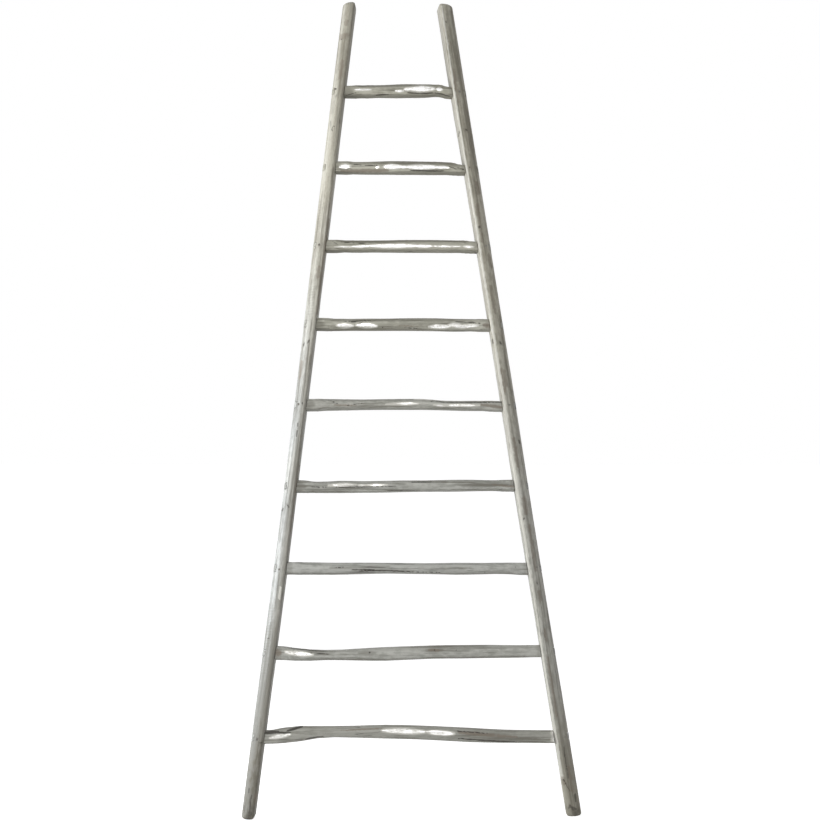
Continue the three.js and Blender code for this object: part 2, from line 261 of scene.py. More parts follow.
soft_lamp(
    "window_left", place=(-2.3, -0.38, 1.25), aim=(0, 0.05, 1.1),
    size=(1.0, 2.1), watts=54, color=(0.98, 0.99, 1.0),
)
soft_lamp(
    "front", place=(-0.6, -4.3, 2.3), aim=(0, 0, 1.1),
    size=(0.8, 0.5), watts=45, color=(1.0, 0.985, 0.95),
)

# %% [markdown]
# ## Where things are on a leaning ladder
#
# The ladder leans, so straight up the wall isn't straight along a stile. This helper turns
# points into the ladder's own directions: across it, behind its face, and along its length.
# Marks and grain are then laid in those directions, as a maker would say them.

# %% The ladder's own directions
LEAN = math.radians(9)
mounts = {m["name"]: m for m in frame["record"]["mounts"]}
foot_y = mounts["left_sole"]["pos_m"][1]


def in_ladder(points):
    """Points as (across, behind, along), in metres from the floor line of the feet."""
    back, up = points[:, 1] - foot_y, points[:, 2]
    behind = back * math.cos(LEAN) - up * math.sin(LEAN)
    along = back * math.sin(LEAN) + up * math.cos(LEAN)
    return np.stack([points[:, 0], behind, along], axis=1)


print("foot line at y", round(foot_y, 4))

# %% [markdown]
# ## Fine copies of the solids
#
# A packed solid is made of loose triangles as long as a hand. Weathering needs small faces,
# so each copy is joined, its flat faces are merged, and it is cut into thin rings across
# its length. Long edges round each ring are then divided. A little smoothing wears the
# edges round, as years of use do, and it draws the shape in rather than out.

# %% A fine, worn copy
CELL = 0.0024  # about the size of a face, in metres
LONG_EDGE = 1.6 * CELL  # a longer edge is halved
HALVINGS, SMOOTHINGS = 3, 2
FLAT = math.radians(0.4)  # faces that meet at less than this are one flat face

nodes = frame["nodes"]
print(len(nodes), "nodes,", sum(len(n.data.polygons) for n in nodes.values()), "triangles")


def cut_into_rings(wood, direction, ring_step):
    """Cuts across the direction, at even steps of about ring_step."""
    reach = [v.co.dot(direction) for v in wood.verts]
    rings = int((max(reach) - min(reach)) / ring_step)
    for ring in range(1, rings):
        place = min(reach) + (max(reach) - min(reach)) * ring / rings
        whole = wood.verts[:] + wood.edges[:] + wood.faces[:]
        bmesh.ops.bisect_plane(
            wood, geom=whole, dist=1e-6, plane_co=direction * place, plane_no=direction
        )


def fine_copy(node, direction, ring_step):
    """The node's solid as a bmesh in small faces, with worn edges."""
    wood = bmesh.new()
    wood.from_mesh(nodes[node].data)
    bmesh.ops.remove_doubles(wood, verts=wood.verts, dist=1e-5)
    bmesh.ops.dissolve_limit(wood, angle_limit=FLAT, verts=wood.verts, edges=wood.edges)
    cut_into_rings(wood, direction, ring_step)
    for _ in range(HALVINGS):
        long = [e for e in wood.edges if e.calc_length() > LONG_EDGE]
        bmesh.ops.subdivide_edges(wood, edges=long, cuts=1, use_grid_fill=True)
    for _ in range(SMOOTHINGS):
        bmesh.ops.smooth_vert(
            wood, verts=wood.verts, factor=0.5, use_axis_x=True, use_axis_y=True, use_axis_z=True
        )
    bmesh.ops.triangulate(wood, faces=wood.faces)
    return wood


def as_piece(wood, name, node):
    """The bmesh as a shaded piece that stands for its CAD node."""
    mesh = bpy.data.meshes.new(name)
    wood.to_mesh(mesh)
    wood.free()
    mesh.shade_smooth()
    piece = bpy.data.objects.new(name, mesh)
    scene.collection.objects.link(piece)
    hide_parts(node)
    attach(piece, "root")
    return piece


print("faces of", CELL * 1000, "mm")

# %% [markdown]
# ## Reading and writing a mesh in one go
#
# A stile has tens of thousands of points. Blender can hand all of them over at once as
# numbers, which is far quicker than a loop. These helpers read the places and normals, move
# the points inwards, and lay an amount on each point for the paint to read. Lumps and ragged
# edges come from smooth noise, which is the same each time the lesson is run.

# %% Mesh helpers
def read(mesh, what):
    """The places ("co") or the normals ("normal") of all points, one row each."""
    values = np.empty(len(mesh.vertices) * 3, np.float32)
    mesh.vertices.foreach_get(what, values)
    return values.reshape(-1, 3).astype(float)


def carve(mesh, depth):
    """Moves each point in by its own depth. Wear only ever takes wood away."""
    places = read(mesh, "co") - read(mesh, "normal") * np.maximum(depth, 0)[:, None]
    mesh.vertices.foreach_set("co", places.astype(np.float32).ravel())
    mesh.update()


def lay(mesh, name, values):
    """Stores an amount, or a direction, on each point."""
    kind = "FLOAT_VECTOR" if values.ndim == 2 else "FLOAT"
    layer = mesh.attributes.new(name, kind, "POINT")
    key = "vector" if values.ndim == 2 else "value"
    layer.data.foreach_set(key, values.astype(np.float32).ravel())


def wander(places, across, along, seed):
    """Smooth noise from -1 to 1, with so many cells a unit across the wood and along it."""
    scale = np.array([across, across, along])
    return np.array([noise.noise(Vector(p)) for p in places * scale + seed])


print("noise at one place:", wander(np.array([[0.3, 0.2, 0.7]]), 1, 1, 0).round(3))

# %% [markdown]
# ## Marks as strokes of a brush
#
# A knot, a crack or a rubbed place could be painted on an image, but an image is sharp at one
# size only. A stroke is a line with a width. Its cover is full near the line and fades out at
# its edge, so a few numbers say where a mark is, and it is easy to move.

# %% Strokes
def rise(values, start, end):
    """0 at start, 1 at end, and a straight rise between. start may be the larger."""
    return np.clip((values - start) / (end - start), 0, 1)


def stroke(u, v, mark, taper=0.0):
    """How strongly a stroke of the brush covers each point of a surface given in mm.

    A mark is the stroke's two ends and its half width. The cover is full up to half of the
    half width and gone at one and a half times it. taper narrows it towards both ends.
    """
    u0, v0, u1, v1, width = mark
    du, dv = u1 - u0, v1 - v0
    share = ((u - u0) * du + (v - v0) * dv) / max(du * du + dv * dv, 1e-6)
    share = np.clip(share, 0, 1)
    away = np.hypot(u - u0 - share * du, v - v0 - share * dv)
    width = width * (1 - taper * (2 * share - 1) ** 2)
    return np.clip(1.5 - away / width, 0, 1)


trial = stroke(np.array([0.0, 1.0, 2.0]), np.zeros(3), (0, -5, 0, 5, 1))
print("cover on a stroke's line, at its half width and past its edge:", trial)

# %% [markdown]
# ## Silver paint on old wood
#
# Aluminium paint is a varnish full of metal flakes, so it is part metal and part paint. It has gone
# dull, yellow-grey in some places and blue-grey in others. Where it is thin the grey wood and its
# fibres show through, brown where it was rubbed often, and dirt sits in the drying cracks. The
# glints are painted highlights: near-white patches, smooth and metallic, laid where the paint would
# be rubbed smooth. Each of those is one mask over the colour, and the same masks set how rough and
# how metallic the surface is.

# %% Colours and noises of the paint
STILE_TONES = (0.56, 0.545, 0.46, 1), (0.405, 0.382, 0.312, 1)  # fresh, and dull
RUNG_TONES = (0.57, 0.56, 0.478, 1), (0.40, 0.39, 0.32, 1)
COOL_TONES = (0.545, 0.557, 0.547, 1), (0.375, 0.384, 0.375, 1)
GREY_WOOD, BROWN_WOOD = (0.20, 0.188, 0.155, 1), (0.27, 0.225, 0.18, 1)
# The pale colour is mostly painted light: the lit sides of the stiles, a highlight along the right
# stile's front edge, and soft glows on the rungs.
PALE_AND_LIT = (0.74, 0.73, 0.67, 1)
# The next line holds the dark of dirt and of painted shade, and the near-white of painted
# highlights.
DIRT_AND_SHADE, GLINT_WHITE = (0.055, 0.05, 0.042, 1), (0.97, 0.965, 0.955, 1)
RIB = 0.0075  # spacing of the ribs that a chattering drawknife leaves, in metres


def paint_noises(paint):
    """The noises that the masks are sums of: cells a metre across the wood, and along it."""
    return SimpleNamespace(
        clouds=paint.grain(14, 3.5, detail=3, shift=2),
        streaks=paint.grain(170, 5, detail=4, rough=0.62, shift=7),
        fibres=paint.grain(520, 14, detail=2, shift=3),
        speckle=paint.grain(260, 160, detail=2, shift=11),
        mottle=paint.grain(100, 45, detail=4, rough=0.6, shift=23),
        blots=paint.grain(80, 8, detail=4, rough=0.62, shift=17),
        veins=paint.grain(60, 2.4, detail=2, shift=5),
    )


print("the stiles' fresh and dull paint:", STILE_TONES[0][:3], STILE_TONES[1][:3])

# %% [markdown]
# ## Masks of wear and of painted light and shade
#
# A mask is 1 where a kind of wear, a painted light or a painted shade has done its work and 0 where
# it hasn't. Each one starts from an amount that is laid on the mesh, and a noise breaks up its
# edge, since old paint wears off along the grain and never in clean shapes.

# %% Masks
def dark_mask(paint, noises):
    """Dirt and painted shade where they were laid, dirt in the drying cracks, and small dots."""
    dirt = paint.mask(paint.laid("dirt") + noises.streaks.swing(0.7), 0.2, 0.85)
    cracks = paint.mask(abs(noises.veins - 0.5), 0.012, 0.003)
    cracks = cracks * paint.mask(noises.clouds, 0.5, 0.62)
    dots = paint.mask(noises.speckle, 0.30, 0.24)
    return dirt.most(cracks * 0.7).most(dots * 0.4)


def paint_masks(paint, noises):
    """How far each kind of wear, painted light and painted shade has gone, from 0 to 1."""
    clouds, streaks = noises.clouds, noises.streaks
    speckle, mottle = noises.speckle, noises.mottle
    old, dark = paint.laid("old"), dark_mask(paint, noises)
    thickness = streaks + noises.fibres.swing(0.5) + clouds.swing(0.5) - old * 0.12
    patchy = speckle.swing(1.2) + streaks.swing(1.2)
    # The painted highlights on the rungs: near-white, smooth and metallic, with ragged edges.
    ragged = 1 + streaks.swing(2.8) + mottle.swing(2.4) + speckle.swing(1.4)
    rubbed = paint.mask(paint.laid("rubbed") * ragged, 0.12, 0.95)
    return SimpleNamespace(
        old=old,
        dark=dark,
        thin=paint.mask(thickness, 0.44, 0.32),
        aged_and_shaded=old * (0.6 + mottle.swing(1.1) + streaks.swing(0.8)),
        pale=paint.mask(paint.laid("pale") + streaks.swing(0.7), 0.2, 0.8),
        brown=paint.mask(paint.laid("bare") + patchy, 0.25, 0.95),
        rubbed=rubbed * (1 - dark * 0.8),
    )


def rib_wave(paint):
    """The drawknife's ribs as a wave along the wood, from -1 to 1."""
    place = paint.node("Attribute", {"attribute_name": "grain"}, output=1)
    along = paint.node("SeparateXYZ", {}, {0: place}, output=2)
    wave = paint.node("Math", {"operation": "SINE"}, {0: along * (math.tau / RIB)})
    return wave * paint.laid("chatter")


print("ribs every", RIB * 1000, "mm")

# %% [markdown]
# ## The layers, from the paint to the dirt on it
#
# The colour starts as the paint's own two tones, and each layer covers part of the one before: wood
# that shows through, with painted shade laid the same way, pale places that are mostly painted
# light, brown places, dirt with lines of painted shade, and painted highlights as rubbed metal on
# top of all.

# %% The paint
def coat(paint, noises, tones, stain):
    """The paint's own colour: fresh and dull in clouds, stained brown, and cooled."""
    dulled = noises.clouds + noises.streaks.swing(0.9) + noises.mottle.swing(0.9)
    fresher = paint.mask(dulled, 0.33, 0.67)
    fresh, dull = tones
    color = paint.mix(fresher, dull, fresh)
    stains = paint.mask(noises.blots + noises.speckle.swing(0.5), 0.42, 0.72)
    color = paint.mix(stains * stain, color, BROWN_WOOD)
    cool_fresh, cool_dull = COOL_TONES
    return paint.mix(paint.laid("cool"), color, paint.mix(fresher, cool_dull, cool_fresh))


def layers(paint, color, masks, ribs, wear):
    """The paint's colour with everything that shows through it or lies on it."""
    covers = (
        # grey wood where the paint is thin or old, and painted shade laid the same way
        ((masks.thin * (0.7 * wear)).most(masks.aged_and_shaded), GREY_WOOD),
        # pale places, most of them painted light
        (masks.pale * 0.85, PALE_AND_LIT),
        (masks.brown * (0.7 * wear), BROWN_WOOD),
        # dirt, and lines of painted shade
        (masks.dark * (0.9 * wear), DIRT_AND_SHADE),
        # painted highlights, laid as rubbed metal, on top of all
        (masks.rubbed, GLINT_WHITE),
        (paint.mask(ribs, 0.0, 1.0) * 0.18, GREY_WOOD),
    )
    for amount, cover in covers:
        color = paint.mix(amount, color, cover)
    return color


def relief(paint, noises, masks, ribs):
    """The fine height of fibres, streaks, dirt and ribs, as a bump."""
    height = noises.fibres * 0.35 + noises.streaks * 0.7 - masks.dark * 0.8 - masks.thin * 0.2
    height = height + noises.speckle * 0.15 - ribs * 0.15
    return paint.node("Bump", {}, {"Height": height, "Strength": 0.6, "Distance": 0.0012})


def silver_paint(name, tones, wear, stain):
    """The paint. wear is how strongly wood, dirt and painted shade show in it, and stain how brown
    it is.
    """
    material, paint = new_finish(name)
    noises = paint_noises(paint)
    masks = paint_masks(paint, noises)
    ribs = rib_wave(paint)
    rubbed, worn_and_shaded = masks.rubbed, masks.thin.most(masks.brown).most(masks.dark).most(masks.old)
    surface = {
        "Base Color": layers(paint, coat(paint, noises, tones, stain), masks, ribs, wear),
        "Metallic": 0.12 * (1 - worn_and_shaded) * (1 - rubbed) + rubbed * 0.8,
        "Roughness": 0.5 + noises.speckle.swing(0.16) + worn_and_shaded * 0.2 - rubbed * 0.28,
        "Normal": relief(paint, noises, masks, ribs),
        "Specular IOR Level": 0.3,
    }
    paint.node("OutputMaterial", {}, {"Surface": paint.node("BsdfPrincipled", {}, surface)})
    return material


stile_paint = silver_paint("stile_paint", STILE_TONES, wear=0.7, stain=0.34)
rung_paint = silver_paint("rung_paint", RUNG_TONES, wear=1.0, stain=0.12)
print("nodes in the paint", len(stile_paint.node_tree.nodes))

# %% [markdown]
# ## The stiles
#
# Each stile is half of a pole split down its length. Its round side keeps the faint flats of the
# drawknife, and its split face is rougher. A pale line along the front edge of the right stile is
# partly thin paint and partly a painted highlight, and the right stile's flat face is painted
# paler, as painted light, where it faces the window lamp. A drawknife has chattered along the left
# one, and there are knots, stains and a few cracks. Each mark is a stroke: where it starts and
# where it ends, both as millimetres out from the stile's inner line and up the stile, as they look
# from in front. The last number is half the width.

# %% Stile marks
STILE_MARKS = {
    "left_stile": {
        "dirt": [
            (27.5, 2066, 27.5, 2062, 1.6), (17, 1813, 22, 1815, 1.3), (22, 1815, 25, 1809, 1.3),
            (25, 1809, 22, 1803, 1.3), (17, 1813, 16, 1806, 1.2),
            (30.5, 1220, 30.5, 1217, 2.6), (18, 1226, 18, 1222, 3.0), (15, 1064, 15, 1060, 2.2),
            (19.5, 1010, 19.5, 1000, 1.8), (19, 985, 19.5, 975, 2.0), (21, 791, 18, 785, 1.8),
            (33, 784, 33, 780, 2.0), (21.5, 587, 21.5, 575, 1.5), (30, 448, 26, 448, 1.9),
            (28, 71, 28, 66, 2.2), (15, 190, 3, 184, 1.0), (17, 12, 18, 2, 7.0),
            (19, 56, 19, 16, 1.8),
        ],
        "bare": [
            (14, 2072, 28, 2072, 9), (19, 1998, 19, 1950, 6.5), (21, 2112, 21, 2104, 6),
            (15.5, 1425, 16, 1400, 5), (30, 1170, 30, 1130, 4), (6, 64, 6, 38, 4),
            (5, 1560, 5, 1300, 2.5), (5, 900, 5, 720, 2.5),
        ],
        "pale": [(13, 580, 13, 550, 3.0)],
        "old": [
            (13, 1490, 13, 1420, 1.4), (30, 1985, 30, 1965, 1.4), (30, 1885, 30, 1855, 3),
            (9, 2150, 9, 1900, 1.2), (20, 2060, 21, 1900, 1.4), (9, 1700, 9, 1560, 1.2),
            (24, 796, 14, 780, 4), (16, 870, 17, 800, 1.6), (12, 420, 12, 300, 1.8),
            (20, 330, 19, 150, 1.8),
        ],
        "chatter": [
            (31, 1600, 31, 1520, 5), (24, 1372, 24, 1300, 9), (29, 529, 29, 432, 8),
            (29, 394, 29, 361, 8),
        ],
    },
    "right_stile": {
        "dirt": [
            (18, 2118, 18, 2112, 1.8), (25, 1809, 27, 1808, 2.2), (4, 1804, 4, 1799, 2.0),
            (17, 1542, 17, 1536, 2.6), (18, 1708, 18, 1705, 1.8), (25, 1226, 26, 1223, 2.2),
            (5, 1232, 5, 1221, 2.0), (34.5, 963, 34.5, 957, 2.8), (23, 590, 23, 586, 2.0),
            (16, 757, 16, 753, 2.2), (23, 172, 23, 93, 1.5), (3, 205, 3, 180, 2.2),
            (8, 90, 23, 57, 1.6), (15, 20, 29, 14, 4.5), (33, 52, 33, 34, 3.0),
        ],
        "bare": [
            (18, 1980, 17, 1890, 3.5), (30, 1662, 30, 1634, 5.5), (31, 1462, 31, 1434, 4.5),
            (23, 1377, 23, 1310, 4.5), (17, 1154, 17, 1094, 3.5), (24, 1150, 24, 1110, 4.5),
            (21, 970, 21, 894, 4.5), (24, 808, 24, 770, 6), (24, 565, 24, 545, 5),
            (22, 470, 22, 440, 4.5), (8, 95, 10, 80, 5), (26, 740, 24, 620, 4),
            (18, 400, 18, 250, 4), (28, 120, 28, 60, 4), (20, 1600, 20, 1500, 4),
        ],
        # A pale line along the front edge: partly thin paint and partly a painted highlight.
        "pale": [
            (12.7, 2160, 12.5, 2030, 2.2), (12.5, 2030, 9.5, 1820, 2.2), (9.5, 1820, 9, 1610, 2.2),
            (9, 1610, 9.2, 1380, 2.6), (9.2, 1380, 10.4, 1165, 2.8), (10.8, 1165, 9.8, 950, 3.2),
            (9.8, 950, 9.4, 740, 3.1), (9.2, 740, 7.6, 522, 2.8), (7.4, 522, 5.6, 320, 2.4),
            (5.4, 320, 6, 120, 3.4), (4, 225, 5, 95, 4.5), (6, 662, 6, 640, 3.5),
        ],
        "old": [
            (21, 1809, 30, 1809, 4.5), (20, 1224, 31, 1224, 5.5),
            (31, 1885, 31, 1825, 1.6), (35, 2150, 33, 1700, 3), (22, 2140, 20, 1950, 2),
            (34, 1300, 34, 900, 2), (20, 1090, 20, 980, 1.6), (30, 700, 29, 500, 2),
        ],
    },
}
print("marks:", {name: sum(map(len, kinds.values())) for name, kinds in STILE_MARKS.items()})

# %% [markdown]
# ## Where a point lies on a stile
#
# The marks are measured from the stile's inner line, but a stile bends and twists, so that
# line isn't straight. It is found ring by ring: the least value in each ring of points is the
# inner line there. Across is scaled as the eye sees it, so that near and far points line up.

# %% Places on a stile
EYE = np.array([-0.27, -4.5, 1.02])  # where the marks are looked at from, near the camera
RING = 0.004  # metres from one ring of points round a stile to the next


def above_inner(values, along):
    """Each value less the least value in its ring round the stile."""
    ring = np.round((along - along.min()) / (RING * 1000)).astype(int)
    least = np.full(ring.max() + 1, np.inf)
    np.minimum.at(least, ring, values)
    return values - least[ring]


def stile_places(mesh, side):
    """Each point as (across, behind, along), and how far out it looks to the eye, in mm."""
    points = read(mesh, "co")
    places = in_ladder(points) * 1000
    along = places[:, 2].copy()
    depth = points[:, 1] - EYE[1]
    across = (points[:, 0] - EYE[0]) / depth * depth.mean() * 1000 * side
    places[:, 0] = above_inner(places[:, 0] * side, along)
    return places, above_inner(across, along)


print("rings every", RING * 1000, "mm")

# %% [markdown]
# ## Broad tones under the marks
#
# Marks alone look like stickers. Between them the paint changes slowly: it is darker towards the
# ground, which is painted shade, and dirty at the very foot, blue-grey low down, and paler where a
# side faces the window lamp, which is painted light. Each of those is a product of slow rises along
# the stile and across it. All numbers are millimetres out or along.

# %% Tones of a stile
OLD_MARKS = 0.6  # how strongly the darker marks show on a stile
FOOT, MUD = (520, 90), (70, 10)  # along a stile, where the painted shade near the ground, and the mud at the foot, start and are full
# How strong the painted shade towards the ground is on each stile.
FOOT_SHADE = {"left_stile": 1.5, "right_stile": 0.42}
LIGHT_PATCHES = (1460, 1640), (780, 980)  # from and to, along the left stile
PATCH_FADE = 60


def add(tones, tone, *amounts):
    """Raises a tone to each of the amounts, where they are larger."""
    for amount in amounts:
        tones[tone] = np.maximum(tones[tone], amount)


def stile_marks(name, places, out, facing, seed):
    """The marks as amounts on each point, their outlines made ragged by noise."""
    ragged_out = out + 1.5 * wander(places, 0.13, 0.08, seed + 20)
    ragged_along = places[:, 2] + 7 * wander(places, 0.16, 0.05, seed + 30)
    tones = {tone: np.zeros(len(places)) for tone in STILE_MARKS[name]}
    for tone, marks in STILE_MARKS[name].items():
        for mark in marks:
            add(tones, tone, stroke(ragged_out, ragged_along, mark) * facing)
    return tones


def left_washes(tones, foot, out, along):
    """Broad tones of the left stile: blue-grey low down, painted shade at the foot and across the
    middle of its round, painted light on its outer side, darker near the top, and paler patches.
    """
    # The painted shade at the foot is weaker on the outer side, which faces the lamp.
    foot = foot * (1 - 0.3 * rise(out, 20, 34))
    tip = rise(along, 1700, 1830) * 0.4 * rise(out, 24, 14)
    # Painted shade across the middle of the round, in the lower half of the stile.
    shade = 0.34 * rise(out, 32, 21) * rise(along, 1150, 950) * rise(along, 80, 300)
    add(tones, "old", foot, tip, shade)
    tones["cool"] = rise(along, 1650, 1000) * (0.5 + 0.5 * rise(out, 12, 26))
    # Painted light: the outer side, which faces the window lamp, is paler up the stile.
    add(tones, "pale", 0.42 * rise(out, 14, 28) * rise(along, 1300, 1600))
    for low, high in LIGHT_PATCHES:
        patch = rise(along, low, low + PATCH_FADE) * rise(along, high, high - PATCH_FADE)
        add(tones, "pale", 0.36 * patch)


def right_washes(tones, foot, split_face, along):
    """Broad tones of the right stile: painted shade at the foot, paler above it, and painted light
    on the split face, which faces the window lamp.
    """
    add(tones, "old", foot)
    tones["cool"] = 0.5 * rise(along, 1300, 800) * rise(along, 60, 300)
    # Paler above the foot, and painted light on the split face, which faces the window lamp.
    add(tones, "pale", 0.26 * rise(along, 450, 650), 0.43 * split_face)


print("the ground's dirt reaches up to", FOOT[0], "mm")

# %% Make the stiles
def make_stile(name, side, seed):
    """side is -1 at the left and 1 at the right. seed moves the noise."""
    wood = fine_copy(name, Vector((0, math.sin(LEAN), math.cos(LEAN))), RING)
    stile = as_piece(wood, "split_" + name, name)
    mesh = stile.data
    normals = read(mesh, "normal")
    places, out = stile_places(mesh, side)
    along = places[:, 2]
    split_face = normals[:, 0] * side < -0.8
    # Faint flats and roughness, in millimetres. The split face is twice as rough.
    flats = 0.16 * (1 + wander(places, 0.05, 0.003, seed))
    rough = 0.10 * (1 + wander(places, 0.16, 0.012, seed + 9)) * (1 + split_face)
    carve(mesh, (flats + rough) / 1000)
    tones = stile_marks(name, places, out, normals[:, 1] < 0.2, seed)
    tones["old"] = tones["old"] * OLD_MARKS
    mud = rise(along, *MUD) * (0.45 + 0.5 * wander(places, 0.1, 0.05, seed + 40))
    add(tones, "dirt", mud)
    # Painted shade towards the ground, weaker on the split face.
    foot = rise(along, *FOOT) * FOOT_SHADE[name] * (1 - 0.4 * split_face)
    if side < 0:
        left_washes(tones, foot, out, along)
    else:
        right_washes(tones, foot, split_face, along)
    lay(mesh, "grain", places / 1000 + seed)
    for tone, amount in tones.items():
        lay(mesh, tone, amount)
    mesh.materials.append(stile_paint)
    print(stile.name, len(mesh.polygons), "triangles")


make_stile("left_stile", side=-1, seed=3.0)
make_stile("right_stile", side=1, seed=5.0)

# %% [markdown]
# ## The rungs
#
# Each rung was cleft and then hewn with an axe and a drawknife, so it has long flats that run into
# each other. No two are alike. The glints on the flat that faces the front are painted highlights
# in long spindle shapes, laid as paint rubbed bright by feet and hands, with a pale rim of painted
# glow round each. The pale strokes are soft painted highlights, and the dark lines along the hewn
# edges and at the rung ends are partly dirt and partly painted shade. The strokes here go from the
# left shoulder, 0, to the right one, 1, and from the underside, -1, to the top, 1, as they look to
# someone who stands in front. The last number is half the width in millimetres.

